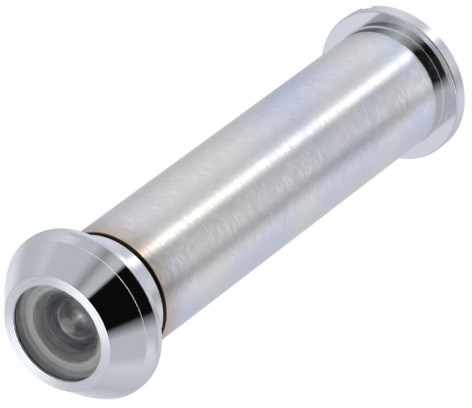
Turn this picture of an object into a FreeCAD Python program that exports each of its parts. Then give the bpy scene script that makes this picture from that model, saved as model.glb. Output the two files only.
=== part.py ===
import FreeCAD, Part
import os
import re
import Sketcher

# Door viewer that is adjusted to the door by screwing its two halves together.
#
# Frame: millimetres, +Z up. The viewing axis is the Y axis: the objective looks out towards -Y
# and the eye is at the +Y end. The origin is on the axis, in the plane of the weather seal's back
# face, which is where the outside face of the door lies.
#
# Each piece is modelled along +Y from a local origin of its own, and its Placement puts it
# on the axis. "Depth" is a distance along +Y.

SIZES = [
    # The barrel that goes through the door
    ("sleeve_radius", 7.0, "sleeve tube, outside: a 14 mm barrel"),
    ("sleeve_bore", 6.4, "sleeve tube, inside radius"),
    ("sleeve_length", 52.8, "sleeve tube, end to end"),
    ("sleeve_edge", 0.28, "bevel round both ends of the sleeve tube"),
    ("bush_bore", 5.55, "threaded bush, radius that clears the thread's crest"),
    ("bush_length", 14.0, "threaded bush, end to end"),
    ("bush_recess", 0.5, "how far the bush sits inside the sleeve's front end"),
    ("bush_edge", 0.3, "bevel at both mouths of the bush"),
    ("press_gap", 0.01, "radial gap modelled at a pressed joint"),
    ("sleeve_start", 3.25, "outside face of the door to the sleeve's front end"),
    # The objective bezel
    ("aperture_radius", 5.42, "glazed opening in the bezel"),
    ("lip_depth", 0.3, "lip that keeps the front lens in"),
    ("lens_pocket", 5.85, "bore behind the lip, for the gasket and the front lens"),
    ("pocket_depth", 2.9, "front face to the end of the lens pocket"),
    ("face_radius", 6.52, "outside of the flat front ring"),
    ("cone_radius", 8.78, "wide end of the polished cone"),
    ("cone_depth", 3.26, "front face to the wide end of the cone"),
    ("step_size", 0.05, "fine step turned where the cone ends"),
    ("band_radius", 9.3, "wide end of the band outside the step"),
    ("band_depth", 4.1, "front face to the wide end of the band"),
    ("rim_radius", 9.525, "largest radius of the bezel"),
    ("rim_start", 4.45, "front face to the start of the straight rim"),
    ("rim_end", 5.0, "front face to the end of the straight rim"),
    ("back_radius", 9.4, "outside of the bezel's back face"),
    ("back_depth", 5.15, "front face to the bezel's back face"),
    ("shank_radius", 6.95, "shank behind the bezel, which enters the door's hole"),
    ("shank_depth", 9.15, "front face to the shank's rear end"),
    ("shank_edge", 0.12, "bevel on the shank's rear end"),
    # The objective barrel and its adjusting thread
    ("head_radius", 6.25, "barrel's head, pressed into the bezel and its shank"),
    ("barrel_bore", 4.4, "bore that holds the rear elements"),
    ("neck_radius", 4.9, "plain neck behind the head, under the thread's root"),
    ("neck_length", 1.4, "length of that neck"),
    ("barrel_length", 34.0, "barrel from its front end to its rear end"),
    ("barrel_edge", 0.5, "bevel on the rear end of the thread"),
    ("thread_pitch", 1.0, "advance of the screw for each turn"),
    ("crest_radius", 5.5, "thread crest"),
    ("thread_depth", 0.52, "thread crest to root"),
    ("root_width", 0.12, "flat at the root of the thread"),
    ("crest_width", 0.18, "flat at the crest of the thread"),
    # Optics
    ("optics_gap", 0.04, "radial gap round a loose lens, spacer or ring"),
    ("gasket_thickness", 0.18, "ring seal between the lip and the front lens"),
    ("front_curve", 45.0, "front lens, radius of its outer surface"),
    ("front_hollow", 5.0, "front lens, radius of its inner surface"),
    ("front_centre", 0.75, "front lens, thickness on the axis"),
    ("spacer_thickness", 0.7, "front and rear spacer"),
    ("front_spacer_bore", 3.5, "front spacer, inside radius"),
    ("middle_thickness", 2.0, "middle lens at its edge"),
    ("middle_hollow", 4.2, "middle lens, radius of its rear surface"),
    ("rear_spacer_bore", 2.8, "rear spacer, inside radius"),
    ("rear_thickness", 1.8, "rear lens at its edge"),
    ("rear_hollow", 4.5, "rear lens, radius of its rear surface"),
    ("concave_centre", 0.8, "middle and rear lens, thickness on the axis"),
    ("ring_thickness", 1.5, "locking rings"),
    ("ring_slot_width", 0.8, "spanner slots across the locking rings"),
    ("ring_slot_depth", 0.6, "depth of the spanner slots"),
    ("objective_ring_bore", 2.8, "objective locking ring, inside radius"),
    # The weather seal
    ("seal_radius", 8.2, "seal, outside"),
    ("seal_bore", 7.05, "seal, inside: it fits over the shank"),
    ("seal_thickness", 0.98, "seal, front to back"),
    ("seal_gap", 0.02, "gap between the bezel's back and the seal"),
    # The eyepiece flange
    ("collar_radius", 6.98, "polished collar between the sleeve and the flange"),
    ("collar_length", 1.45, "length of the collar"),
    ("collar_foot", 0.14, "bevel where the collar meets the flange"),
    ("spigot_length", 6.0, "part pressed into the sleeve"),
    ("flange_radius", 8.85, "flange, outside"),
    ("flange_edge", 0.12, "bevel on the flange's door side"),
    ("flange_rim", 1.5, "door face of the flange to the end of its straight rim"),
    ("flange_depth", 1.85, "door face of the flange to its back face"),
    ("dish_radius", 5.9, "wide end of the dish that the eye looks into"),
    ("dish_depth", 0.9, "door face of the flange to the bottom of the dish"),
    ("eye_radius", 4.0, "eyepiece opening"),
    ("seat_depth", 0.4, "door face of the flange to the eyepiece lens seat"),
    ("seat_radius", 5.2, "bore that holds the eyepiece lens"),
    ("coin_slot_width", 1.6, "slot across the flange for a coin"),
    ("coin_slot_depth", 0.9, "depth of that slot"),
    ("coin_slot_angle", -25.5, "turn of the slot from upright, in degrees"),
    ("eyepiece_curve", 14.0, "eyepiece lens, radius of both surfaces"),
    ("eyepiece_centre", 3.2, "eyepiece lens, thickness on the axis"),
    ("eyepiece_rise", 0.58, "crown of the lens above its seat"),
    ("eyepiece_ring_bore", 4.2, "eyepiece locking ring, inside radius"),
    ("eyepiece_ring_gap", 0.64, "crown of the lens to the locking ring"),
]

# Places along the axis, worked out from the sizes above
FRONT_FACE = "0 - back_depth - seal_gap - seal_thickness"
POCKET_END = f"{FRONT_FACE} + pocket_depth"
MIDDLE_LENS = f"{POCKET_END} + spacer_thickness"
REAR_SPACER = f"{MIDDLE_LENS} + middle_thickness"
REAR_LENS = f"{REAR_SPACER} + spacer_thickness"
OBJECTIVE_RING = f"{REAR_LENS} + rear_thickness"
FLANGE_FACE = "sleeve_start + sleeve_length + collar_length"
EYEPIECE_CROWN = f"{FLANGE_FACE} + seat_depth + eyepiece_rise"
EYEPIECE_RING = f"{EYEPIECE_CROWN} - eyepiece_centre + eyepiece_ring_gap - ring_thickness"

doc = FreeCAD.newDocument("door_viewer")
sheet = doc.addObject("Spreadsheet::Sheet", "Sizes")
for row, (alias, value, meaning) in enumerate(SIZES, start=1):
    sheet.set(f"A{row}", meaning)
    sheet.set(f"B{row}", str(value))
    sheet.setAlias(f"B{row}", alias)
doc.recompute()

pieces = []


def cells(formula):
    """Turn a formula on the names of sizes into one on the sheet's cells."""
    return re.sub(r"[a-z][a-z0-9_]*", r"Sizes.\g<0>", formula)


def place(piece, label, depth):
    """Name a finished piece, put its local origin on the axis at this depth and keep it."""
    piece.Label = label
    piece.setExpression("Placement.Base.y", cells(depth))
    pieces.append(piece)


def new_sketch(body, name, role):
    """A sketch on one of the body's own origin planes."""
    plane = next(item for item in body.Origin.OriginFeatures if item.Role == role)
    sketch = body.newObject("Sketcher::SketchObject", name)
    sketch.AttachmentSupport = (plane, [""])
    sketch.MapMode = "FlatFace"
    return sketch


def draw_outline(sketch, corners):
    """A closed outline of straight lines, with both coordinates of every corner bound."""
    count = len(corners)
    rough = [FreeCAD.Vector(1 + 0.1 * (i % 3), 0.5 * i, 0) for i in range(count)]
    for i in range(count):
        sketch.addGeometry(Part.LineSegment(rough[i], rough[(i + 1) % count]), False)
    for i in range(count):
        sketch.addConstraint(Sketcher.Constraint("Coincident", i, 2, (i + 1) % count, 1))
    for i, (across, along) in enumerate(corners):
        for kind, formula in (("DistanceX", across), ("DistanceY", along)):
            index = sketch.addConstraint(Sketcher.Constraint(kind, -1, 1, i, 1, 1.0))
            sketch.setExpression(f"Constraints[{index}]", cells(formula))


def turned_body(name, half_section):
    """A body turned about the Y axis from (radius, depth) corners."""
    body = doc.addObject("PartDesign::Body", name)
    sketch = new_sketch(body, f"{name}_section", "XY_Plane")
    draw_outline(sketch, half_section)
    turning = body.newObject("PartDesign::Revolution", f"{name}_turning")
    turning.Profile = sketch
    turning.ReferenceAxis = (sketch, ["V_Axis"])
    turning.Angle = 360
    return body


def cut_slot(body, half_width, reach, face, floor):
    """A straight slot across the whole body, from one depth to another."""
    sketch = new_sketch(body, f"{body.Name}_slot", "YZ_Plane")
    draw_outline(sketch, [(floor, f"0 - {half_width}"), (face, f"0 - {half_width}"),
                          (face, half_width), (floor, half_width)])
    slot = body.newObject("PartDesign::Pocket", f"{body.Name}_slotting")
    slot.Profile = sketch
    slot.Midplane = True
    slot.setExpression("Length", cells(f"2 * {reach}"))


def glass_disc(name, radius, front, rear):
    """A glass disc between two depths."""
    disc = doc.addObject("Part::Cylinder", name)
    disc.Placement.Rotation = FreeCAD.Rotation(FreeCAD.Vector(1, 0, 0), -90)
    disc.setExpression("Radius", cells(radius))
    disc.setExpression("Height", cells(f"{rear} - ({front})"))
    disc.setExpression("Placement.Base.y", cells(front))
    return disc


def lens_surface(name, radius, centre):
    """The sphere that a lens surface is ground to."""
    ball = doc.addObject("Part::Sphere", name)
    ball.Placement.Rotation = FreeCAD.Rotation(FreeCAD.Vector(1, 0, 0), -90)
    ball.setExpression("Radius", cells(radius))
    ball.setExpression("Placement.Base.y", cells(centre))
    return ball


def combine(kind, name, base, tool):
    result = doc.addObject(f"Part::{kind}", name)
    result.Base = base
    result.Tool = tool
    return result


def objective_bezel():
    """Cone-shaped head: flat front ring, polished cone, turned rim, short shank and a stepped bore."""
    body = turned_body("objective_bezel", [
        ("aperture_radius", "0"),
        ("face_radius", "0"),
        ("cone_radius", "cone_depth"),
        ("cone_radius + step_size", "cone_depth"),
        ("band_radius", "band_depth"),
        ("rim_radius", "rim_start"),
        ("rim_radius", "rim_end"),
        ("back_radius", "back_depth"),
        ("shank_radius", "back_depth"),
        ("shank_radius", "shank_depth - shank_edge"),
        ("shank_radius - shank_edge", "shank_depth"),
        ("head_radius + press_gap", "shank_depth"),
        ("head_radius + press_gap", "pocket_depth"),
        ("lens_pocket", "pocket_depth"),
        ("lens_pocket", "lip_depth"),
        ("aperture_radius", "lip_depth"),
    ])
    place(body, "objective_bezel", FRONT_FACE)


def objective_barrel():
    """Tube that carries the optics in front and the adjusting thread behind."""
    head_end = "shank_depth - pocket_depth"
    thread_start = f"{head_end} + neck_length"
    body = turned_body("objective_barrel", [
        ("barrel_bore", "0"),
        ("head_radius", "0"),
        ("head_radius", head_end),
        ("neck_radius", head_end),
        ("neck_radius", thread_start),
        ("crest_radius", f"{thread_start} + crest_radius - neck_radius"),
        ("crest_radius", "barrel_length - barrel_edge"),
        ("crest_radius - barrel_edge", "barrel_length"),
        ("barrel_bore", "barrel_length"),
    ])
    # One groove of the thread, which starts in the air over the neck and runs off the rear end
    first = f"{thread_start} - thread_pitch"
    flank = "(thread_pitch - crest_width - root_width) / 2"
    groove = new_sketch(body, "thread_groove", "XY_Plane")
    draw_outline(groove, [
        ("crest_radius", first),
        ("crest_radius - thread_depth", f"{first} + {flank}"),
        ("crest_radius - thread_depth", f"{first} + {flank} + root_width"),
        ("crest_radius", f"{first} + thread_pitch - crest_width"),
    ])
    thread = body.newObject("PartDesign::SubtractiveHelix", "adjusting_thread")
    thread.Profile = groove
    thread.ReferenceAxis = (groove, ["V_Axis"])
    thread.Mode = 0
    thread.LeftHanded = False
    thread.setExpression("Pitch", cells("thread_pitch"))
    thread.setExpression("Height", cells(f"barrel_length - ({first})"))
    place(body, "objective_barrel", POCKET_END)


def plain_ring(name, bore, outside, thickness, depth):
    """A flat ring of square section."""
    body = turned_body(name, [(bore, "0"), (outside, "0"), (outside, thickness), (bore, thickness)])
    place(body, name, depth)


def front_lens():
    """Negative meniscus: nearly flat outside, deeply hollowed inside, with a flat rear rim."""
    crown = "lip_depth + gasket_thickness - aperture_radius ^ 2 / (2 * front_curve)"
    disc = glass_disc("front_lens_blank", "lens_pocket - optics_gap", "0", "pocket_depth")
    outer = lens_surface("front_lens_outer", "front_curve", f"{crown} + front_curve")
    domed = combine("Common", "front_lens_domed", disc, outer)
    hollow = lens_surface("front_lens_hollow", "front_hollow", f"{crown} + front_centre + front_hollow")
    place(combine("Cut", "front_lens_ground", domed, hollow), "front_lens", FRONT_FACE)


def concave_lens(label, thickness, hollow_radius, depth):
    """Plano-concave lens: flat in front, hollowed behind, with a flat rear rim."""
    disc = glass_disc(f"{label}_blank", "barrel_bore - optics_gap", "0", thickness)
    hollow = lens_surface(f"{label}_hollow", hollow_radius, f"concave_centre + {hollow_radius}")
    place(combine("Cut", f"{label}_ground", disc, hollow), label, depth)


def eyepiece_lens():
    """Biconvex lens, measured back from its crown on the eye's side."""
    front = "0 - eyepiece_centre"
    disc = glass_disc("eyepiece_blank", "seat_radius - optics_gap", front, "0")
    eye_side = lens_surface("eyepiece_eye_side", "eyepiece_curve", "0 - eyepiece_curve")
    domed = combine("Common", "eyepiece_domed", disc, eye_side)
    door_side = lens_surface("eyepiece_door_side", "eyepiece_curve", f"{front} + eyepiece_curve")
    place(combine("Common", "eyepiece_ground", domed, door_side), "eyepiece_lens", EYEPIECE_CROWN)


def locking_ring(label, bore, outside, face, floor, depth):
    """Ring screwed in behind a lens, with a spanner slot across one face."""
    body = turned_body(label, [
        (bore, "0"),
        (outside, "0"),
        (outside, "ring_thickness"),
        (bore, "ring_thickness"),
    ])
    cut_slot(body, "ring_slot_width / 2", f"({outside})", face, floor)
    place(body, label, depth)


def sleeve_tube():
    """Plain tube through the door, bevelled at both ends."""
    body = turned_body("sleeve_tube", [
        ("sleeve_bore", "0"),
        ("sleeve_radius - sleeve_edge", "0"),
        ("sleeve_radius", "sleeve_edge"),
        ("sleeve_radius", "sleeve_length - sleeve_edge / 2"),
        ("sleeve_radius - sleeve_edge / 2", "sleeve_length"),
        ("sleeve_bore", "sleeve_length"),
    ])
    place(body, "sleeve_tube", "sleeve_start")


def threaded_bush():
    """Bush pressed into the sleeve's front end, which the objective barrel screws into."""
    body = turned_body("threaded_bush", [
        ("bush_bore + bush_edge", "0"),
        ("sleeve_bore - press_gap", "0"),
        ("sleeve_bore - press_gap", "bush_length"),
        ("bush_bore + bush_edge", "bush_length"),
        ("bush_bore", "bush_length - bush_edge"),
        ("bush_bore", "bush_edge"),
    ])
    place(body, "threaded_bush", "sleeve_start + bush_recess")


def eyepiece_flange():
    """Room-side flange: spigot, polished collar, disc, dished eye opening and a coin slot."""
    shoulder = "flange_depth - flange_rim"
    body = turned_body("eyepiece_flange", [
        ("seat_radius", "0 - collar_length - spigot_length"),
        ("sleeve_bore - press_gap", "0 - collar_length - spigot_length"),
        ("sleeve_bore - press_gap", "0 - collar_length"),
        ("collar_radius", "0 - collar_length"),
        ("collar_radius", "0 - collar_foot"),
        ("collar_radius + collar_foot", "0"),
        ("flange_radius - flange_edge", "0"),
        ("flange_radius", "flange_edge"),
        ("flange_radius", "flange_rim"),
        (f"flange_radius - ({shoulder})", "flange_depth"),
        ("dish_radius", "flange_depth"),
        ("eye_radius", "dish_depth"),
        ("eye_radius", "seat_depth"),
        ("seat_radius", "seat_depth"),
    ])
    cut_slot(body, "coin_slot_width / 2", "flange_radius + flange_edge",
             "flange_depth + flange_edge", "flange_depth - coin_slot_depth")
    place(body, "eyepiece_flange", FLANGE_FACE)
    body.Placement.Rotation = FreeCAD.Rotation(FreeCAD.Vector(0, 1, 0), 1)
    body.setExpression("Placement.Rotation.Angle", cells("coin_slot_angle"))


def write_pieces():
    """Check every object of the document and every piece's shape, then write the pieces."""
    doc.recompute()
    for item in doc.Objects:
        if "Invalid" in item.State or "Error" in item.State:
            raise RuntimeError(f"{item.Label} did not build: {item.State}")
    for piece in pieces:
        shape = piece.Shape
        if shape.isNull() or not shape.isValid() or len(shape.Solids) != 1:
            raise RuntimeError(f"{piece.Label} is not one valid solid")
    os.makedirs("parts", exist_ok=True)
    for piece in pieces:
        piece.Shape.exportStep(f"parts/{piece.Label}.step")
        print(f"{piece.Label}: {piece.Shape.Volume:.1f} mm3")


# The half that is fitted from outside the door
objective_bezel()
objective_barrel()
plain_ring("lens_gasket", "aperture_radius", "lens_pocket - optics_gap", "gasket_thickness",
           f"{FRONT_FACE} + lip_depth")
front_lens()
plain_ring("front_spacer", "front_spacer_bore", "barrel_bore - optics_gap", "spacer_thickness", POCKET_END)
concave_lens("middle_lens", "middle_thickness", "middle_hollow", MIDDLE_LENS)
plain_ring("rear_spacer", "rear_spacer_bore", "barrel_bore - optics_gap", "spacer_thickness", REAR_SPACER)
concave_lens("rear_lens", "rear_thickness", "rear_hollow", REAR_LENS)
locking_ring("objective_locking_ring", "objective_ring_bore", "barrel_bore - optics_gap",
             "ring_thickness + ring_slot_depth", "ring_thickness - ring_slot_depth", OBJECTIVE_RING)
plain_ring("weather_seal", "seal_bore", "seal_radius", "seal_thickness", "0 - seal_thickness")

# The half that is fitted from inside the room
sleeve_tube()
threaded_bush()
eyepiece_flange()
eyepiece_lens()
locking_ring("eyepiece_locking_ring", "eyepiece_ring_bore", "seat_radius - optics_gap",
             "0 - ring_slot_depth", "ring_slot_depth", EYEPIECE_RING)

write_pieces()
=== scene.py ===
import math

import bmesh
import bpy
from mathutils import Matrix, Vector


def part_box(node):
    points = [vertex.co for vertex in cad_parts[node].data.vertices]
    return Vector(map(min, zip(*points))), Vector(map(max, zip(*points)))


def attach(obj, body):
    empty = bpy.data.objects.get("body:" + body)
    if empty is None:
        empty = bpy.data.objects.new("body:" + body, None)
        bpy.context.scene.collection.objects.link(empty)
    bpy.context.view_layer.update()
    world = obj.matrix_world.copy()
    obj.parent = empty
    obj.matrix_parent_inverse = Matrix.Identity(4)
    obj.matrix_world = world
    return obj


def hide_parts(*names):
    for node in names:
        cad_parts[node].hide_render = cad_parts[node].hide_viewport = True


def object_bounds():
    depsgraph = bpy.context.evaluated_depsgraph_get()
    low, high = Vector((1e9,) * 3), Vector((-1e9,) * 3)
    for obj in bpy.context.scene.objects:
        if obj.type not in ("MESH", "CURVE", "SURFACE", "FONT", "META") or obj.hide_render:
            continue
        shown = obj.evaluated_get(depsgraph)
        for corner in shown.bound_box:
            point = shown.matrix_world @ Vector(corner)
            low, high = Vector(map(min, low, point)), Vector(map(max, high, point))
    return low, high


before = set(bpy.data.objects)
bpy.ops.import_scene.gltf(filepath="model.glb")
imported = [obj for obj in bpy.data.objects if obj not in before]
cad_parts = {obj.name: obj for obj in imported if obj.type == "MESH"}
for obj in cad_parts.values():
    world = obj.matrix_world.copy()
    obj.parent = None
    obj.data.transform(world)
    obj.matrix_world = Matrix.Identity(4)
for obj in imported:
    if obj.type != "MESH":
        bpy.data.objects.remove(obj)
CAD_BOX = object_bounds()

# A door viewer that screws together through the door. Metres, with the viewing axis along Y: the
# objective looks out towards -Y and the eye is at the +Y end. Every metal, rubber and glass piece is
# turned, so each is a section of (depth, radius) points swept round the Y axis. Sections are in
# millimetres, with depth measured from the piece's own front.

MM = 0.001

# Facets round a turned piece. They are finer where a polished face mirrors the studio.
MIRROR_FACETS = 288
PLAIN_FACETS = 144

# Edges that turn more than this stay crisp on pieces that aren't only turned
SHARP_ANGLE = math.radians(38)

# Air left between a lens and the face that it rests on, in millimetres
FACE_GAP = 0.01

# Where the lathe's lines are left on the chrome: what is measured, in millimetres from the axis or
# along it, where they start, where they are at their full strength, and that strength
BEZEL_LINES = (
    ("radius", 9.47, 9.5, 1.0),         # rim
    ("depth", -6.09, -6.13, 1.0),       # flat front ring
    ("depth", -1.05, -0.95, 1.0),       # shank
)
FLANGE_LINES = (
    ("radius", 8.76, 8.82, 1.0),        # rim
    ("depth", 57.3, 57.4, 0.15),        # face towards the door, and the outer face
)

# The ground rim of the front lens: its inner radius, and its depth from the lens's front
GROUND_RIM_RADIUS = 3.74 * MM
GROUND_RIM_DEPTH = 0.42 * MM

# Camera
CAMERA_AZIMUTH = 33.3
CAMERA_ELEVATION = 29.5
CAMERA_LENS = 439.6
CAMERA_RIGHT = 18.21 * MM       # from the middle of the front face to the line of sight
CAMERA_UP = 13.21 * MM
CAMERA_DISTANCE = 585.47 * MM

# Studio
FLOOR_DROP = 0.12
FLOOR_REACH = 40
STUDIO_GAIN = 1.25
STRIP_LIGHT = 0.9
FILL_LIGHT = 2.6


def linear(code):
    """A colour from its sRGB hex code, in linear light."""
    values = [int(code[i:i + 2], 16) / 255 for i in (1, 3, 5)]
    return [v / 12.92 if v <= 0.04045 else ((v + 0.055) / 1.055) ** 2.4 for v in values] + [1.0]


def add(tree, kind, settings=None, feeds=None):
    """Adds a node. settings are its properties, feeds its socket values or the sockets that feed it."""
    node = tree.nodes.new(kind)
    for name, value in (settings or {}).items():
        if name == "stops":
            ramp = node.color_ramp.elements
            while len(ramp) < len(value):
                ramp.new(1.0)
            for element, (position, code) in zip(ramp, value):
                element.position = position
                element.color = linear(code)
        else:
            setattr(node, name, value)
    for name, value in (feeds or {}).items():
        if isinstance(value, bpy.types.NodeSocket):
            tree.links.new(value, node.inputs[name])
        else:
            node.inputs[name].default_value = value
    return node


# ---------------------------------------------------------------- camera, floor and light

def view_axes():
    """Right, up and back of the camera, as unit vectors."""
    a = math.radians(CAMERA_AZIMUTH)
    e = math.radians(CAMERA_ELEVATION)
    back = Vector((math.sin(a) * math.cos(e), -math.cos(a) * math.cos(e), math.sin(e)))
    right = Vector((math.cos(a), math.sin(a), 0))
    return right, back.cross(right), back


def set_camera():
    """A long lens from the upper right of the objective end."""
    right, up, back = view_axes()
    front_face = Vector((0, CAD_BOX[0].y, 0))
    camera = bpy.data.objects.new("camera", bpy.data.cameras.new("camera"))
    bpy.context.scene.collection.objects.link(camera)
    camera.location = front_face + right * CAMERA_RIGHT + up * CAMERA_UP + back * CAMERA_DISTANCE
    camera.rotation_mode = "QUATERNION"
    camera.rotation_quaternion = (-back).to_track_quat("-Z", "Y")
    camera.data.lens = CAMERA_LENS
    camera.data.sensor_width = 36
    camera.data.clip_start = 0.05
    camera.data.clip_end = 50
    bpy.context.scene.camera = camera


# The studio's tones, from a black card to the strip light. The tent's cloth is a little cool.
BLACK_CARD = "#0A0A0A"
DIM_WALL = "#606468"
GREY_PANEL = "#888888"
TENT = "#B0B2B8"
PALE_TENT = "#D4D5DC"
WHITE = "#FFFFFF"

# Where they stand round the viewing axis, in degrees from the right-hand horizon (90 is overhead), on
# four rings: straight ahead of the objective, ahead, square to the barrel, and behind the eyepiece. A
# black card stands on the right in front, and a lit tent goes round the rest.
STUDIO_FRONT = (
    (-180, DIM_WALL), (-160, DIM_WALL), (-140, PALE_TENT), (-115, TENT), (-25, TENT), (0, BLACK_CARD),
    (65, BLACK_CARD), (85, GREY_PANEL), (110, TENT), (155, DIM_WALL), (180, DIM_WALL),
)
STUDIO_AHEAD = (
    (-180, TENT), (-15, TENT), (3, BLACK_CARD), (59, BLACK_CARD), (64, TENT), (72, TENT),
    (84, GREY_PANEL), (98, TENT), (180, TENT),
)
STUDIO_BESIDE = (
    (-180, TENT), (-160, PALE_TENT), (-95, TENT), (-25, PALE_TENT), (-4, GREY_PANEL), (10, PALE_TENT),
    (52, TENT), (66, WHITE), (86, TENT), (115, PALE_TENT), (165, TENT), (180, TENT),
)
STUDIO_BEHIND = (
    (-180, TENT), (-145, PALE_TENT), (-95, TENT), (-25, PALE_TENT), (-4, GREY_PANEL), (10, PALE_TENT),
    (52, TENT), (62, WHITE), (70, WHITE), (80, TENT), (110, PALE_TENT), (145, PALE_TENT),
    (170, TENT), (180, TENT),
)


# The strip light's edges on the same scale, narrow and on the upper right
STUDIO_STRIP = ((60.48, "#000000"), (63, WHITE), (68.4, WHITE), (72, "#000000"))

# Where each ring takes over from the one before, as the Y of the direction looked in
RING_CHANGES = ((-0.65, -0.5), (-0.14, -0.02), (0.4, 0.6))
STRIP_REACH = (0.05, 0.2)       # where the strip light fades in, towards the eyepiece
FILL_REACH = (-0.84, -0.92)     # where the round fill light does, straight ahead


def set_world():
    """A soft studio: pale tent walls, a black card, a strip light, and a fill down the bore."""
    world = bpy.data.worlds.new("studio")
    bpy.context.scene.world = world
    world.use_nodes = True
    tree = world.node_tree
    tree.nodes.clear()
    looking = add(tree, "ShaderNodeTexCoord")
    axes = add(tree, "ShaderNodeSeparateXYZ", {}, {"Vector": looking.outputs["Generated"]})
    turn = add(tree, "ShaderNodeMath", {"operation": "ARCTAN2"}, {
        0: axes.outputs["Z"], 1: axes.outputs["X"]})
    turn_share = add(tree, "ShaderNodeMapRange", {}, {
        "Value": turn.outputs[0], "From Min": -math.pi, "From Max": math.pi})
    rings = []
    for stops in (STUDIO_FRONT, STUDIO_AHEAD, STUDIO_BESIDE, STUDIO_BEHIND, STUDIO_STRIP):
        placed = [((angle + 180) / 360, code) for angle, code in stops]
        ring = add(tree, "ShaderNodeValToRGB", {"stops": placed}, {"Fac": turn_share.outputs["Result"]})
        rings.append(ring.outputs["Color"])
    shares = []
    for start, end in (*RING_CHANGES, STRIP_REACH, FILL_REACH):
        share = add(tree, "ShaderNodeMapRange", {"interpolation_type": "SMOOTHSTEP"}, {
            "Value": axes.outputs["Y"], "From Min": start, "From Max": end})
        shares.append(share.outputs["Result"])
    walls, *later_walls, strip = rings
    *wall_shares, strip_share, fill_share = shares
    for later, share in zip(later_walls, wall_shares):
        blend = add(tree, "ShaderNodeMix", {"data_type": "RGBA"}, {"Factor": share, "A": walls, "B": later})
        walls = blend.outputs["Result"]
    wall_light = add(tree, "ShaderNodeVectorMath", {"operation": "SCALE"}, {
        0: walls, "Scale": STUDIO_GAIN})
    strip_gain = add(tree, "ShaderNodeMath", {"operation": "MULTIPLY"}, {0: strip_share, 1: STRIP_LIGHT})
    strip_light = add(tree, "ShaderNodeVectorMath", {"operation": "SCALE"}, {
        0: strip, "Scale": strip_gain.outputs[0]})
    fill_light = add(tree, "ShaderNodeMath", {"operation": "MULTIPLY"}, {0: fill_share, 1: FILL_LIGHT})
    both = add(tree, "ShaderNodeVectorMath", {"operation": "ADD"}, {
        0: strip_light.outputs[0], 1: wall_light.outputs[0]})
    light = add(tree, "ShaderNodeVectorMath", {"operation": "ADD"}, {
        0: both.outputs[0], 1: fill_light.outputs[0]})
    lit = add(tree, "ShaderNodeBackground", {}, {"Color": light.outputs[0]})
    plain = add(tree, "ShaderNodeBackground", {}, {"Color": linear(WHITE)})
    ray = add(tree, "ShaderNodeLightPath")
    shown = add(tree, "ShaderNodeMixShader", {}, {
        0: ray.outputs["Is Camera Ray"], 1: lit.outputs[0], 2: plain.outputs[0]})
    add(tree, "ShaderNodeOutputWorld", {}, {"Surface": shown.outputs[0]})


def set_floor():
    """A plain white floor well below the piece, lit evenly and seen only from above."""
    mesh = bpy.data.meshes.new("floor")
    z = CAD_BOX[0].z - FLOOR_DROP
    corners = [(FLOOR_REACH * x, FLOOR_REACH * y, z) for x, y in ((-1, -1), (1, -1), (1, 1), (-1, 1))]
    mesh.from_pydata(corners, [], [(0, 1, 2, 3)])
    floor = bpy.data.objects.new("floor", mesh)
    bpy.context.scene.collection.objects.link(floor)
    material, tree = new_material("white_floor")
    side = add(tree, "ShaderNodeNewGeometry")
    top = add(tree, "ShaderNodeEmission", {}, {"Color": linear(WHITE)})
    clear = add(tree, "ShaderNodeBsdfTransparent")
    mixed = add(tree, "ShaderNodeMixShader", {}, {
        0: side.outputs["Backfacing"], 1: top.outputs[0], 2: clear.outputs[0]})
    add(tree, "ShaderNodeOutputMaterial", {}, {"Surface": mixed.outputs[0]})
    mesh.materials.append(material)
    floor.visible_glossy = False
    floor.visible_diffuse = False
    floor.visible_transmission = False
    floor.visible_shadow = False


# ---------------------------------------------------------------- materials

def new_material(name):
    """A material with an empty node tree, and that tree."""
    material = bpy.data.materials.new(name)
    material.use_nodes = True
    material.node_tree.nodes.clear()
    return material, material.node_tree


def axis_distance(tree, place):
    """How far a point of the piece is from the viewing axis."""
    across = add(tree, "ShaderNodeVectorMath", {"operation": "MULTIPLY"}, {0: place, 1: (1, 0, 1)})
    length = add(tree, "ShaderNodeVectorMath", {"operation": "LENGTH"}, {0: across.outputs[0]})
    return length.outputs["Value"]


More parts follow.
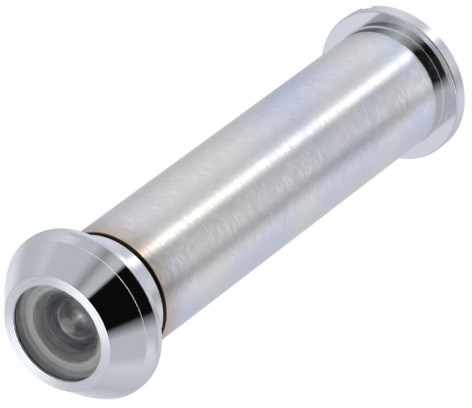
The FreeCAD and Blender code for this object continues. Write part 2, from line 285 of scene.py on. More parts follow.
def polished_chrome(name, turned_zones):
    """Bright chrome plate on turned brass: a cool mirror, with the lathe's lines left on rims and flats.
    turned_zones says where, as BEZEL_LINES does."""
    material, tree = new_material(name)
    place = add(tree, "ShaderNodeTexCoord").outputs["Object"]
    radius = axis_distance(tree, place)
    depth = add(tree, "ShaderNodeSeparateXYZ", {}, {"Vector": place}).outputs["Y"]
    zones = None
    for measure, start, end, amount in turned_zones:
        zone = add(tree, "ShaderNodeMapRange", {}, {
            "Value": radius if measure == "radius" else depth,
            "From Min": start * MM, "From Max": end * MM, "To Max": amount}).outputs["Result"]
        if zones is None:
            zones = zone
        else:
            zones = add(tree, "ShaderNodeMath", {"operation": "MAXIMUM"}, {0: zones, 1: zone}).outputs[0]
    # Lathe lines 0.07 mm apart, coarser than the real ones so that they show
    section = add(tree, "ShaderNodeCombineXYZ", {}, {"X": radius, "Y": depth})
    lines = add(tree, "ShaderNodeTexNoise", {}, {
        "Vector": section.outputs[0], "Scale": 1 / (0.14 * MM), "Detail": 2.0})
    haze = add(tree, "ShaderNodeTexNoise", {}, {"Vector": place, "Scale": 1 / (3 * MM), "Detail": 3.0})
    marked = add(tree, "ShaderNodeMapRange", {}, {
        "Value": lines.outputs["Fac"], "From Min": 0.3, "From Max": 0.7, "To Min": 0.24, "To Max": 0.38})
    clean = add(tree, "ShaderNodeMapRange", {}, {
        "Value": haze.outputs["Fac"], "From Min": 0.35, "From Max": 0.7, "To Min": 0.03, "To Max": 0.07})
    roughness = add(tree, "ShaderNodeMix", {}, {
        "Factor": zones, "A": clean.outputs["Result"], "B": marked.outputs["Result"]})
    lathe_height = add(tree, "ShaderNodeMath", {"operation": "MULTIPLY"}, {0: lines.outputs["Fac"], 1: zones})
    lathe = add(tree, "ShaderNodeBump", {}, {
        "Height": lathe_height.outputs[0], "Strength": 0.7, "Distance": 0.012 * MM})
    sway = add(tree, "ShaderNodeBump", {}, {
        "Height": haze.outputs["Fac"], "Strength": 0.3, "Distance": 0.01 * MM, "Normal": lathe.outputs[0]})
    grain = add(tree, "ShaderNodeTangent", {"direction_type": "UV_MAP", "uv_map": "turning"})
    shader = add(tree, "ShaderNodeBsdfPrincipled", {}, {
        "Base Color": linear("#E8EAEC"), "Metallic": 1.0, "Roughness": roughness.outputs["Result"],
        "Anisotropic": 0.75, "Tangent": grain.outputs[0], "Normal": sway.outputs[0]})
    add(tree, "ShaderNodeOutputMaterial", {}, {"Surface": shader.outputs[0]})
    return material


def brushed_plate():
    """Nickel-chrome plate over a tube brushed round its girth: satin streaks, faint blue and straw tints."""
    material, tree = new_material("brushed_plate")
    place = add(tree, "ShaderNodeTexCoord").outputs["Object"]
    depth = add(tree, "ShaderNodeSeparateXYZ", {}, {"Vector": place}).outputs["Y"]
    # Scratches 0.1 mm wide that run a millimetre or so round the tube
    along_scratch = add(tree, "ShaderNodeMapping", {}, {
        "Vector": place, "Scale": (1 / (1.1 * MM), 1 / (0.21 * MM), 1 / (1.1 * MM))})
    scratches = add(tree, "ShaderNodeTexNoise", {}, {
        "Vector": along_scratch.outputs[0], "Scale": 1.0, "Detail": 4.0, "Roughness": 0.6})
    broad = add(tree, "ShaderNodeMapping", {}, {
        "Vector": place, "Scale": (1 / (9 * MM), 1 / (14 * MM), 1 / (9 * MM))})
    patches = add(tree, "ShaderNodeTexNoise", {}, {"Vector": broad.outputs[0], "Scale": 1.0, "Detail": 1.0})
    tint = add(tree, "ShaderNodeValToRGB", {"stops": [
        (0.36, "#EAEFFA"), (0.50, "#F7F6F5"), (0.66, "#FAF7F1")]}, {"Fac": patches.outputs["Fac"]})
    # Heat-straw tint near the front end of the tube, which fades over the first 4.5 mm
    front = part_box("sleeve_tube")[0].y
    warmth = add(tree, "ShaderNodeMapRange", {"interpolation_type": "SMOOTHSTEP"}, {
        "Value": depth, "From Min": front, "From Max": front + 4.5 * MM,
        "To Min": 0.8, "To Max": 0.0})
    colour = add(tree, "ShaderNodeMix", {"data_type": "RGBA"}, {
        "Factor": warmth.outputs["Result"], "A": tint.outputs["Color"], "B": linear("#E0CDBC")})
    # Painted shade: dark brown painted on the tube's cut front end and its bevel, where shade falls in the
    # gap behind the bezel
    end_shade = add(tree, "ShaderNodeMapRange", {}, {
        "Value": depth, "From Min": front + 0.2 * MM, "From Max": front + 0.32 * MM,
        "To Min": 1.0, "To Max": 0.0})
    skin = add(tree, "ShaderNodeMix", {"data_type": "RGBA"}, {
        "Factor": end_shade.outputs["Result"], "A": colour.outputs["Result"], "B": linear("#3A2C22")})
    streaked = add(tree, "ShaderNodeMapRange", {}, {
        "Value": scratches.outputs["Fac"], "From Min": 0.35, "From Max": 0.65,
        "To Min": 0.27, "To Max": 0.43})
    height = add(tree, "ShaderNodeBump", {}, {
        "Height": scratches.outputs["Fac"], "Strength": 0.8, "Distance": 0.026 * MM})
    grain = add(tree, "ShaderNodeTangent", {"direction_type": "UV_MAP", "uv_map": "turning"})
    shader = add(tree, "ShaderNodeBsdfPrincipled", {}, {
        "Base Color": skin.outputs["Result"], "Metallic": 1.0, "Roughness": streaked.outputs["Result"],
        "Anisotropic": 1.0, "Tangent": grain.outputs[0], "Normal": height.outputs[0]})
    add(tree, "ShaderNodeOutputMaterial", {}, {"Surface": shader.outputs[0]})
    return material


def bare_brass():
    """Unplated machined brass, dulled brown with age and darker in its tool lines."""
    material, tree = new_material("bare_brass")
    place = add(tree, "ShaderNodeTexCoord").outputs["Object"]
    # Tool lines 0.15 mm apart round every turned face
    radius = axis_distance(tree, place)
    depth = add(tree, "ShaderNodeSeparateXYZ", {}, {"Vector": place}).outputs["Y"]
    section = add(tree, "ShaderNodeCombineXYZ", {}, {"X": radius, "Y": depth})
    lines = add(tree, "ShaderNodeTexNoise", {}, {
        "Vector": section.outputs[0], "Scale": 1 / (0.3 * MM), "Detail": 3.0})
    stain = add(tree, "ShaderNodeTexNoise", {}, {"Vector": place, "Scale": 1 / (2.5 * MM), "Detail": 4.0})
    colour = add(tree, "ShaderNodeValToRGB", {"stops": [
        (0.30, "#8A6B3A"), (0.52, "#A98648"), (0.74, "#C6A25C")]}, {"Fac": stain.outputs["Fac"]})
    # The barrel's head, as far as the shank's rear end at 3 mm, took plate with the bezel
    plated = add(tree, "ShaderNodeMapRange", {}, {
        "Value": depth, "From Min": 2.8 * MM, "From Max": 3.0 * MM, "To Min": 1.0, "To Max": 0.0})
    skin = add(tree, "ShaderNodeMix", {"data_type": "RGBA"}, {
        "Factor": plated.outputs["Result"], "A": colour.outputs["Color"], "B": linear("#BDBEC0")})
    roughness = add(tree, "ShaderNodeMapRange", {}, {
        "Value": lines.outputs["Fac"], "From Min": 0.3, "From Max": 0.7, "To Min": 0.28, "To Max": 0.48})
    height = add(tree, "ShaderNodeBump", {}, {
        "Height": lines.outputs["Fac"], "Strength": 0.3, "Distance": 0.01 * MM})
    shader = add(tree, "ShaderNodeBsdfPrincipled", {}, {
        "Base Color": skin.outputs["Result"], "Metallic": 1.0, "Roughness": roughness.outputs["Result"],
        "Normal": height.outputs[0]})
    add(tree, "ShaderNodeOutputMaterial", {}, {"Surface": shader.outputs[0]})
    return material


def crown_glass(name, haze, rim=None):
    """Optical crown glass, IOR 1.52. haze is how dull its film of dust and grease is. rim is where the
    ground rim starts: its radius, and its depth on the Y axis."""
    material, tree = new_material(name)
    place = add(tree, "ShaderNodeTexCoord").outputs["Object"]
    smear = add(tree, "ShaderNodeTexNoise", {}, {"Vector": place, "Scale": 1 / (1.6 * MM), "Detail": 3.0})
    roughness = add(tree, "ShaderNodeMapRange", {}, {
        "Value": smear.outputs["Fac"], "From Min": 0.45, "From Max": 0.75,
        "To Min": haze / 3, "To Max": haze})
    glass = add(tree, "ShaderNodeBsdfPrincipled", {}, {
        "Base Color": linear("#F8FBFA"), "Roughness": roughness.outputs["Result"],
        "IOR": 1.52, "Transmission Weight": 1.0})
    surface = glass.outputs[0]
    if rim:
        rim_radius, rim_depth = rim
        radius = axis_distance(tree, place)
        depth = add(tree, "ShaderNodeSeparateXYZ", {}, {"Vector": place}).outputs["Y"]
        outer = add(tree, "ShaderNodeMapRange", {}, {
            "Value": radius, "From Min": rim_radius, "From Max": rim_radius + 0.06 * MM})
        deep = add(tree, "ShaderNodeMapRange", {}, {
            "Value": depth, "From Min": rim_depth, "From Max": rim_depth + 0.06 * MM})
        ground_part = add(tree, "ShaderNodeMath", {"operation": "MULTIPLY"}, {
            0: outer.outputs["Result"], 1: deep.outputs["Result"]})
        # Rings 0.2 mm apart that the grinding left, and a film of dust
        rings = add(tree, "ShaderNodeTexNoise", {"noise_dimensions": "1D"}, {
            "W": radius, "Scale": 1 / (0.4 * MM), "Detail": 2.0})
        grey = add(tree, "ShaderNodeValToRGB", {"stops": [
            (0.35, "#CBCBCB"), (0.65, "#F2F2F0")]}, {"Fac": rings.outputs["Fac"]})
        frosted = add(tree, "ShaderNodeBsdfPrincipled", {}, {
            "Base Color": grey.outputs["Color"], "Metallic": 1.0, "Roughness": 0.65})
        mixed = add(tree, "ShaderNodeMixShader", {}, {
            0: ground_part.outputs[0], 1: surface, 2: frosted.outputs[0]})
        surface = mixed.outputs[0]
    add(tree, "ShaderNodeOutputMaterial", {}, {"Surface": surface})
    return material


def black_rubber():
    """Matt nitrile rubber, with the fine grain of its mould."""
    material, tree = new_material("black_rubber")
    place = add(tree, "ShaderNodeTexCoord").outputs["Object"]
    grain = add(tree, "ShaderNodeTexNoise", {}, {"Vector": place, "Scale": 1 / (0.25 * MM), "Detail": 3.0})
    colour = add(tree, "ShaderNodeValToRGB", {"stops": [
        (0.35, "#101012"), (0.65, "#1D1D20")]}, {"Fac": grain.outputs["Fac"]})
    roughness = add(tree, "ShaderNodeMapRange", {}, {
        "Value": grain.outputs["Fac"], "From Min": 0.3, "From Max": 0.7, "To Min": 0.6, "To Max": 0.8})
    height = add(tree, "ShaderNodeBump", {}, {
        "Height": grain.outputs["Fac"], "Strength": 0.6, "Distance": 0.02 * MM})
    shader = add(tree, "ShaderNodeBsdfPrincipled", {}, {
        "Base Color": colour.outputs["Color"], "Roughness": roughness.outputs["Result"],
        "Normal": height.outputs[0]})
    add(tree, "ShaderNodeOutputMaterial", {}, {"Surface": shader.outputs[0]})
    return material


def black_anodised():
    """Black anodised aluminium: a satin near-black with turning lines under the film."""
    material, tree = new_material("black_anodised")
    place = add(tree, "ShaderNodeTexCoord").outputs["Object"]
    lines = add(tree, "ShaderNodeTexNoise", {"noise_dimensions": "1D"}, {
        "W": axis_distance(tree, place), "Scale": 1 / (0.15 * MM), "Detail": 2.0})
    colour = add(tree, "ShaderNodeValToRGB", {"stops": [
        (0.35, "#4C4C4F"), (0.65, "#6A6A6E")]}, {"Fac": lines.outputs["Fac"]})
    roughness = add(tree, "ShaderNodeMapRange", {}, {
        "Value": lines.outputs["Fac"], "From Min": 0.3, "From Max": 0.7, "To Min": 0.35, "To Max": 0.5})
    shader = add(tree, "ShaderNodeBsdfPrincipled", {}, {
        "Base Color": colour.outputs["Color"], "Metallic": 0.6, "Roughness": roughness.outputs["Result"]})
    add(tree, "ShaderNodeOutputMaterial", {}, {"Surface": shader.outputs[0]})
    return material


# ---------------------------------------------------------------- turned pieces

def rounded(corners, closed=True):
    """Section points from (depth, radius, edge) corners. An edge over 0 becomes a small arc, with a
    point close to it on each side that keeps the faces beside it flat."""
    points = []
    count = len(corners)
    for i, (depth, radius, edge) in enumerate(corners):
        here = Vector((depth, radius))
        if not edge or (not closed and i in (0, count - 1)):
            points.append(here)
            continue
        to_last = Vector(corners[i - 1][:2]) - here
        to_next = Vector(corners[(i + 1) % count][:2]) - here
        turn = math.pi - to_last.angle(to_next)
        reach = edge * math.tan(turn / 2)
        hold = min(0.5 * edge, 0.2 * to_last.length, 0.2 * to_next.length)
        start = here + to_last.normalized() * reach
        end = here + to_next.normalized() * reach
        middle = (to_last.normalized() + to_next.normalized()).normalized()
        centre = here + middle * math.hypot(reach, edge)
        steps = max(2, math.ceil(math.degrees(turn) / 18))
        points.append(start + to_last.normalized() * hold)
        for step in range(steps + 1):
            share = step / steps
            spoke = (start - centre).slerp(end - centre, share)
            points.append(centre + spoke.normalized() * edge)
        points.append(end + to_next.normalized() * hold)
    return [(p.x, p.y) for p in points]


def lathe_marks(start, end, radius, height, pitch):
    """Corners of a straight rim with the shallow waves that the tool left on it, uneven in height."""
    points_a_wave = 8
    steps = round((end - start) / pitch * points_a_wave)
    corners = []
    for step in range(steps + 1):
        depth = start + (end - start) * step / steps
        phase = 2 * math.pi * (depth - start) / pitch
        wave = 0.5 - 0.5 * math.cos(phase) * (0.7 + 0.3 * math.cos(phase * 0.37))
        corners.append((depth, radius - height * wave, 0))
    return corners


def ground(curve, centre, from_radius, to_radius, steps=24):
    """Corners along a lens surface. curve is its radius, and centre the depth of its middle."""
    side = 1 if curve > 0 else -1
    corners = []
    for step in range(steps + 1):
        radius = from_radius + (to_radius - from_radius) * step / steps
        corners.append((centre - side * math.sqrt(curve ** 2 - radius ** 2), radius, 0))
    return corners


def turning_tree():
    """Geometry nodes that sweep a section's points round the Y axis into one closed skin."""
    tree = bpy.data.node_groups.new("turning", "GeometryNodeTree")
    for name, kind in (("Section", "NodeSocketGeometry"), ("Points", "NodeSocketInt"),
                       ("Runs", "NodeSocketInt"), ("Facets", "NodeSocketInt"),
                       ("Finish", "NodeSocketMaterial")):
        tree.interface.new_socket(name, in_out="INPUT", socket_type=kind)
    tree.interface.new_socket("Turned", in_out="OUTPUT", socket_type="NodeSocketGeometry")
    given = add(tree, "NodeGroupInput").outputs
    rows = add(tree, "ShaderNodeMath", {}, {0: given["Runs"], 1: 1.0}).outputs[0]
    columns = add(tree, "ShaderNodeMath", {}, {0: given["Facets"], 1: 1.0}).outputs[0]
    sheet = add(tree, "GeometryNodeMeshGrid", {}, {
        "Size X": 1.0, "Size Y": 1.0, "Vertices X": rows, "Vertices Y": columns})
    index = add(tree, "GeometryNodeInputIndex").outputs[0]
    ratio = add(tree, "ShaderNodeMath", {"operation": "DIVIDE"}, {0: index, 1: columns}).outputs[0]
    row = add(tree, "ShaderNodeMath", {"operation": "FLOOR"}, {0: ratio}).outputs[0]
    column = add(tree, "ShaderNodeMath", {"operation": "FLOORED_MODULO"}, {0: index, 1: columns}).outputs[0]
    point = add(tree, "ShaderNodeMath", {"operation": "FLOORED_MODULO"}, {
        0: row, 1: given["Points"]}).outputs[0]
    spot = add(tree, "GeometryNodeInputPosition").outputs[0]
    sampled = add(tree, "GeometryNodeSampleIndex", {"data_type": "FLOAT_VECTOR", "domain": "POINT"}, {
        "Geometry": given["Section"], "Value": spot, "Index": point})
    share = add(tree, "ShaderNodeMath", {"operation": "DIVIDE"}, {0: column, 1: given["Facets"]}).outputs[0]
    angle = add(tree, "ShaderNodeMath", {"operation": "MULTIPLY"}, {0: share, 1: 2 * math.pi}).outputs[0]
    swung = add(tree, "ShaderNodeVectorRotate", {"rotation_type": "Y_AXIS"}, {
        "Vector": sampled.outputs[0], "Angle": angle})
    named = add(tree, "GeometryNodeStoreNamedAttribute", {"data_type": "FLOAT2", "domain": "CORNER"}, {
        "Geometry": sheet.outputs["Mesh"], "Name": "turning", "Value": sheet.outputs["UV Map"]})
    bent = add(tree, "GeometryNodeSetPosition", {}, {
        "Geometry": named.outputs[0], "Position": swung.outputs[0]})
    joined = add(tree, "GeometryNodeMergeByDistance", {}, {"Geometry": bent.outputs[0], "Distance": 1e-7})
    smooth = add(tree, "GeometryNodeSetShadeSmooth", {}, {"Geometry": joined.outputs[0]})
    real = add(tree, "GeometryNodeRealizeInstances", {}, {"Geometry": smooth.outputs[0]})
    finished = add(tree, "GeometryNodeSetMaterial", {}, {
        "Geometry": real.outputs[0], "Material": given["Finish"]})
    add(tree, "NodeGroupOutput", {}, {"Turned": finished.outputs[0]})
    return tree


def thread_tree():
    """Geometry nodes for the ridge of a screw thread: a trapezium swept along a helix round Z, faded
    out at both ends."""
    tree = bpy.data.node_groups.new("screw_thread", "GeometryNodeTree")
    for name, kind in (("Blank", "NodeSocketGeometry"), ("Root Radius", "NodeSocketFloat"),
                       ("Ridge Height", "NodeSocketFloat"), ("Pitch", "NodeSocketFloat"),
                       ("Turns", "NodeSocketFloat"), ("Points A Turn", "NodeSocketInt"),
                       ("Finish", "NodeSocketMaterial")):
        tree.interface.new_socket(name, in_out="INPUT", socket_type=kind)
    tree.interface.new_socket("Thread", in_out="OUTPUT", socket_type="NodeSocketGeometry")
    given = add(tree, "NodeGroupInput").outputs
    length = add(tree, "ShaderNodeMath", {"operation": "MULTIPLY"}, {
        0: given["Pitch"], 1: given["Turns"]}).outputs[0]
    helix = add(tree, "GeometryNodeCurveSpiral", {}, {
        "Resolution": given["Points A Turn"], "Rotations": given["Turns"], "Height": length,
        "Start Radius": given["Root Radius"], "End Radius": given["Root Radius"]})
    upright = add(tree, "GeometryNodeSetCurveNormal", {"mode": "Z_UP"}, {"Curve": helix.outputs[0]})
    place = add(tree, "GeometryNodeSplineParameter").outputs["Factor"]
    fade_in = add(tree, "ShaderNodeMapRange", {}, {
        "Value": place, "From Min": 0.0, "From Max": 0.02, "To Min": 0.05, "To Max": 1.0})
    fade_out = add(tree, "ShaderNodeMapRange", {}, {
        "Value": place, "From Min": 0.98, "From Max": 1.0, "To Min": 1.0, "To Max": 0.05})
    fade = add(tree, "ShaderNodeMath", {"operation": "MINIMUM"}, {
        0: fade_in.outputs[0], 1: fade_out.outputs[0]})
    faded = add(tree, "GeometryNodeSetCurveRadius", {}, {
        "Curve": upright.outputs[0], "Radius": fade.outputs[0]})
    crest = add(tree, "ShaderNodeMath", {"operation": "MULTIPLY"}, {0: given["Pitch"], 1: 0.18}).outputs[0]
    foot = add(tree, "ShaderNodeMath", {"operation": "MULTIPLY"}, {0: given["Pitch"], 1: 0.88}).outputs[0]
    tooth = add(tree, "GeometryNodeCurvePrimitiveQuadrilateral", {"mode": "TRAPEZOID"}, {
        "Height": given["Ridge Height"], "Bottom Width": foot, "Top Width": crest, "Offset": 0.0})
    ridge = add(tree, "GeometryNodeCurveToMesh", {}, {
        "Curve": faded.outputs[0], "Profile Curve": tooth.outputs[0], "Fill Caps": True})
    real = add(tree, "GeometryNodeRealizeInstances", {}, {"Geometry": ridge.outputs[0]})
    finished = add(tree, "GeometryNodeSetMaterial", {}, {
        "Geometry": real.outputs[0], "Material": given["Finish"]})
    add(tree, "NodeGroupOutput", {}, {"Thread": finished.outputs[0]})
    return tree


def grown(name, mesh, tree, values):
    """The plain mesh that a node tree makes from a starting mesh. values are its named inputs."""
    seed = bpy.data.objects.new(name, mesh)
    bpy.context.scene.collection.objects.link(seed)
    modifier = seed.modifiers.new("tree", "NODES")
    modifier.node_group = tree
    for item in tree.interface.items_tree:
        if item.item_type == "SOCKET" and item.in_out == "INPUT" and item.name in values:
            modifier[item.identifier] = values[item.name]
    made = bpy.data.meshes.new_from_object(seed.evaluated_get(bpy.context.evaluated_depsgraph_get()))
    seed.modifiers.remove(modifier)
    made.name = name
    seed.data = made
    return seed


def face_outwards(piece):
    """Turns every face of a closed piece outwards."""
    built = bmesh.new()
    built.from_mesh(piece.data)
    bmesh.ops.recalc_face_normals(built, faces=built.faces)
    built.to_mesh(piece.data)
    built.free()


def turned(name, front, section, finish, facets=PLAIN_FACETS, closed=True):
    """A piece turned from a section in millimetres, whose depth 0 is at front on the Y axis."""
    mesh = bpy.data.meshes.new(f"{name}_section")
    mesh.from_pydata([(0, front + depth * MM, radius * MM) for depth, radius in section], [], [])
    runs = len(section) if closed else len(section) - 1
    piece = grown(name, mesh, TURNING, {
        "Points": len(section), "Runs": runs, "Facets": facets, "Finish": finish})
    face_outwards(piece)
    return piece


def cut_slot(piece, width, start, end, reach, lean=0.0):
    """Cuts a straight slot across a turned piece between two places on the Y axis."""
    tool = bpy.data.meshes.new("slot_tool")
    half = width * MM / 2
    corners = []
    for y in (start, end):
        for x, z in ((-half, -reach), (half, -reach), (half, reach), (-half, reach)):
            leant_x = x * math.cos(lean) + z * math.sin(lean)
            leant_z = z * math.cos(lean) - x * math.sin(lean)
            corners.append((leant_x, y, leant_z))
    sides = [(0, 1, 2, 3), (7, 6, 5, 4), (0, 4, 5, 1), (1, 5, 6, 2), (2, 6, 7, 3), (3, 7, 4, 0)]
    tool.from_pydata(corners, [], sides)
    cutter = bpy.data.objects.new("slot_tool", tool)
    bpy.context.scene.collection.objects.link(cutter)
    face_outwards(cutter)
    cut = piece.modifiers.new("slot", "BOOLEAN")
    cut.operation = "DIFFERENCE"
    cut.solver = "EXACT"
    cut.object = cutter
    made = bpy.data.meshes.new_from_object(piece.evaluated_get(bpy.context.evaluated_depsgraph_get()))
    piece.modifiers.remove(cut)
    made.name = piece.name
    piece.data = made
    bpy.data.objects.remove(cutter)
    piece.data.set_sharp_from_angle(angle=SHARP_ANGLE)


def fit(piece, body, slot, *nodes):
    """The piece rides on a body and stands for CAD nodes. slot is not used."""
    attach(piece, body)
    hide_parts(*nodes)


# ---------------------------------------------------------------- the half outside the door

def objective_bezel(finish):
    """Cone-shaped head: flat front ring, a fine step where the cone ends, lathe-marked rim and shank."""
    low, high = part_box("objective_bezel")
    rim = high.x / MM
    length = (high.y - low.y) / MM
    aperture, lens_bore, barrel_bore, shank = 5.42, 5.85, 6.26, 6.95
    cone_end, rim_back, barrel_seat, lip = 3.26, 5.15, 2.9, 0.3
    section = rounded([
        (0, aperture, 0.07), (0, 6.52, 0.05), (cone_end, 8.78, 0.015), (cone_end, 8.805, 0.008),
        (4.1, 9.3, 0.1), (4.45, rim, 0.04), *lathe_marks(4.52, 4.93, rim, 0.015, 0.2),
        (5.0, rim, 0.03), (rim_back, 9.4, 0.03), (rim_back, shank, 0.05),
        *lathe_marks(5.3, 8.9, shank, 0.012, 0.3), (length - 0.12, shank, 0.03),
        (length, shank - 0.12, 0.03), (length, barrel_bore, 0.05), (barrel_seat, barrel_bore, 0.05),
        (barrel_seat, lens_bore, 0.05), (lip, lens_bore, 0.05), (lip, aperture, 0.05),
    ])
    piece = turned("objective_bezel_turned", low.y, section, finish, MIRROR_FACETS)
    fit(piece, "objective", "polished_chrome", "objective_bezel")


def objective_barrel(finish):
    """Brass tube behind the head. Its screw thread is a piece of its own, on the same body."""
    low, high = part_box("objective_barrel")
    length = (high.y - low.y) / MM
    bore, head, relief, screw_core = 4.4, 6.25, 4.9, 4.98
    head_end = 6.25
    section = rounded([
        (0, bore, 0.05), (0, head, 0.05), (head_end, head, 0.05), (head_end, relief, 0.03),
        (7.65, relief, 0.03), (7.75, screw_core, 0.03), (length, screw_core, 0.05), (length, bore, 0.05),
    ])
    piece = turned("objective_barrel_turned", low.y, section, finish)
    fit(piece, "objective", "bare_brass", "objective_barrel")


def adjusting_thread(finish):
    """The right-hand adjusting thread, 1 mm for each turn."""
    low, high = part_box("objective_barrel")
    pitch = 1.0 * MM
    start = low.y + 8.25 * MM
    turns = (high.y - 0.45 * MM - start) / pitch
    blank = bpy.data.meshes.new("thread_blank")
    piece = grown("adjusting_thread", blank, THREAD, {
        "Root Radius": 5.22 * MM, "Ridge Height": 0.52 * MM, "Pitch": pitch, "Turns": turns,
        "Points A Turn": 72, "Finish": finish})
    # The helix climbs Z, so it is laid along Y
    for vertex in piece.data.vertices:
        x, y, z = vertex.co
        vertex.co = (x, start + z, -y)
    face_outwards(piece)
    piece.data.set_sharp_from_angle(angle=SHARP_ANGLE)
    fit(piece, "objective", "bare_brass", "objective_barrel")


def weather_seal(finish):
    """Moulded rubber ring round the shank, pressed between the rim and the door."""
    low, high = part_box("weather_seal")
    bore = 7.05
    outside = high.x / MM
    thick = (high.y - low.y) / MM
    section = rounded([(0, bore, 0.15), (0, outside, 0.3), (thick, outside, 0.3), (thick, bore, 0.15)])
    piece = turned("weather_seal_moulded", low.y, section, finish)
    fit(piece, "seal", "black_rubber", "weather_seal")


def plain_rings(finishes):
    """The gasket and the two spacers between the lenses: plain rings with broken edges."""
    for node, bore, slot in (("lens_gasket", 5.42, "black_rubber"),
                             ("front_spacer", 3.5, "black_anodised"),
                             ("rear_spacer", 2.8, "black_anodised")):
        low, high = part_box(node)
        thick = (high.y - low.y) / MM
        outside = high.x / MM
        edge = 0.2 * min(thick, outside - bore)
        section = rounded([
            (0, bore, edge), (0, outside, edge), (thick, outside, edge), (thick, bore, edge)])
        piece = turned(f"{node}_turned", low.y, section, finishes[slot])
        fit(piece, "objective", slot, node)


def front_lens(finish):
    """Negative meniscus: nearly flat outside, hollowed deeply inside, with a flat rear rim."""
    low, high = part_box("front_lens")
    outside = high.x / MM
    back = (high.y - low.y) / MM - FACE_GAP
    front_curve, rear_curve, middle_thickness = 45, 5.0, 0.75
    edge = front_curve - math.sqrt(front_curve ** 2 - outside ** 2)
    hollow = middle_thickness + rear_curve
    mouth = math.sqrt(rear_curve ** 2 - (hollow - back) ** 2)
    section = ground(front_curve, front_curve, 0, outside)
    section += [(edge + 0.03, outside, 0), (back - 0.03, outside, 0), (back, outside, 0)]
    section += [(back, outside - 0.04, 0), (back, mouth + 0.04, 0)]
    section += ground(rear_curve, hollow, mouth, 0, 40)
    piece = turned("front_lens_ground", low.y, [corner[:2] for corner in section], finish,
                   MIRROR_FACETS, closed=False)
    fit(piece, "objective", "crown_glass", "front_lens")


def concave_lenses(finish):
    """Two plano-concave lenses: flat in front, hollowed behind."""
    middle_thickness = 0.8
    for node, curve in (("middle_lens", 4.2), ("rear_lens", 4.5)):
        low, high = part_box(node)
        outside = high.x / MM
        front = FACE_GAP
        back = (high.y - low.y) / MM - FACE_GAP
        hollow = middle_thickness + curve
        mouth = math.sqrt(curve ** 2 - (hollow - back) ** 2)
        section = [(front, 0, 0), (front, outside * 0.5, 0), (front, outside - 0.04, 0)]
        section += [(front, outside, 0), (front + 0.04, outside, 0)]
        section += [(back - 0.04, outside, 0), (back, outside, 0), (back, outside - 0.04, 0)]
        section += [(back, mouth + 0.04, 0)] + ground(curve, hollow, mouth, 0, 36)
        piece = turned(f"{node}_ground", low.y, [corner[:2] for corner in section], finish, closed=False)
        fit(piece, "objective", "crown_glass", node)


# ---------------------------------------------------------------- the half inside the room

def sleeve_tube(finish):
    """The brushed 14 mm tube that passes through the door, bevelled at both ends."""
    low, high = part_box("sleeve_tube")
    outside = high.x / MM
    length = (high.y - low.y) / MM
    bore, front_bevel, rear_bevel = 6.4, 0.28, 0.14
    section = rounded([
        (0, bore, 0.05), (0, outside - front_bevel, 0.05), (front_bevel, outside, 0.1),
        (length - rear_bevel, outside, 0.05), (length, outside - rear_bevel, 0.03), (length, bore, 0.05)])
    piece = turned("sleeve_tube_brushed", low.y, section, finish, MIRROR_FACETS)
    fit(piece, "interior", "brushed_plate", "sleeve_tube")


def threaded_bush(finish):
    """Brass bush inside the tube that the adjusting thread screws into, chamfered at both mouths."""
    low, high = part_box("threaded_bush")
    outside = high.x / MM
    length = (high.y - low.y) / MM
    bore, chamfer = 5.55, 0.3
    section = rounded([
        (0, bore + chamfer, 0.03), (0, outside, 0.05), (length, outside, 0.05),
        (length, bore + chamfer, 0.03), (length - chamfer, bore, 0.03), (chamfer, bore, 0.03)])
    piece = turned("threaded_bush_turned", low.y, section, finish)
    fit(piece, "interior", "bare_brass", "threaded_bush")


def eyepiece_flange(finish):
    """Polished disc on a collar, dished for the eye, with a slot across it for a coin."""
    low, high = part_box("eyepiece_flange")
    disc = high.x / MM
    disc_thickness, collar_length, tube_fit, collar, lens_bore, eye_bore = 1.85, 1.45, 6.39, 6.98, 5.2, 4.0
    back = (high.y - low.y) / MM
    face = back - disc_thickness
    section = rounded([
        (0, lens_bore, 0.05), (0, tube_fit, 0.05), (face - collar_length, tube_fit, 0.03),
        (face - collar_length, collar, 0.06), (face - 0.14, collar, 0.02), (face, collar + 0.14, 0.02),
        (face, disc - 0.12, 0.03), (face + 0.12, disc, 0.03),
        *lathe_marks(face + 0.2, face + 1.4, disc, 0.015, 0.3),
        (face + 1.5, disc, 0.1), (back, disc - 0.35, 0.1),
        (back, 5.9, 0.08), (face + 0.9, eye_bore, 0.05), (face + 0.4, eye_bore, 0.05),
        (face + 0.4, lens_bore, 0.05)])
    piece = turned("eyepiece_flange_turned", low.y, section, finish, MIRROR_FACETS)
    # The coin slot's end shows as a nick in the rim, on the upper left
    cut_slot(piece, 1.6, high.y - 0.9 * MM, high.y + 0.2 * MM, high.x * 1.05, math.radians(-25.5))
    fit(piece, "interior", "polished_chrome", "eyepiece_flange")


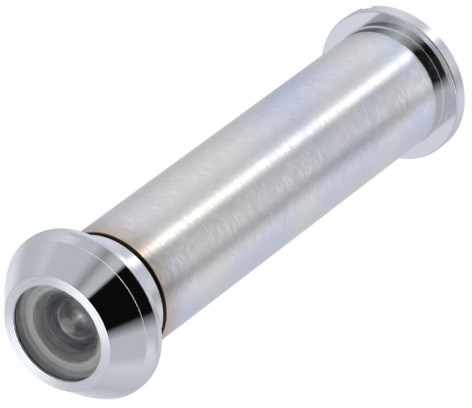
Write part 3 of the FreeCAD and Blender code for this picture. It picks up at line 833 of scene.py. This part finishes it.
def eyepiece_lens(finish):
    """Biconvex lens that the eye looks through."""
    low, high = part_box("eyepiece_lens")
    outside = high.x / MM
    thick = (high.y - low.y) / MM
    curve = 14
    sag = curve - math.sqrt(curve ** 2 - outside ** 2)
    section = ground(curve, curve, 0, outside)
    section += [(sag + 0.03, outside, 0), (thick - sag - 0.03, outside, 0)]
    section += ground(-curve, thick - curve, outside, 0)
    piece = turned("eyepiece_lens_ground", low.y, [corner[:2] for corner in section], finish,
                   MIRROR_FACETS, closed=False)
    fit(piece, "interior", "crown_glass", "eyepiece_lens")


def locking_rings(finish):
    """Rings screwed in behind the lenses, each with a spanner slot across the face it is turned by."""
    for node, bore, body in (("objective_locking_ring", 2.8, "objective"),
                             ("eyepiece_locking_ring", 4.2, "interior")):
        low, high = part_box(node)
        outside = high.x / MM
        thick = (high.y - low.y) / MM
        section = rounded([
            (0, bore, 0.08), (0, outside, 0.08), (thick, outside, 0.08), (thick, bore, 0.08)])
        piece = turned(f"{node}_turned", low.y, section, finish)
        if body == "objective":
            slot_ends = (high.y - 0.6 * MM, high.y + 0.2 * MM)
        else:
            slot_ends = (low.y - 0.2 * MM, low.y + 0.6 * MM)
        cut_slot(piece, 0.8, *slot_ends, high.x * 1.1)
        fit(piece, body, "black_anodised", node)


set_camera()
set_world()
set_floor()
bpy.context.scene.view_settings.view_transform = "Standard"

TURNING = turning_tree()
THREAD = thread_tree()
BRASS = bare_brass()
GLASS = crown_glass("clear_glass", 0.05)
INNER_GLASS = crown_glass("inner_glass", 0.18)
RUBBER = black_rubber()
ANODISED = black_anodised()

objective_bezel(polished_chrome("bezel_chrome", BEZEL_LINES))
objective_barrel(BRASS)
adjusting_thread(BRASS)
weather_seal(RUBBER)
plain_rings({"black_rubber": RUBBER, "black_anodised": ANODISED})
ground_rim = (GROUND_RIM_RADIUS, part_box("front_lens")[0].y + GROUND_RIM_DEPTH)
front_lens(crown_glass("front_glass", 0.03, ground_rim))
concave_lenses(INNER_GLASS)
sleeve_tube(brushed_plate())
threaded_bush(BRASS)
eyepiece_flange(polished_chrome("flange_chrome", FLANGE_LINES))
eyepiece_lens(GLASS)
locking_rings(ANODISED)
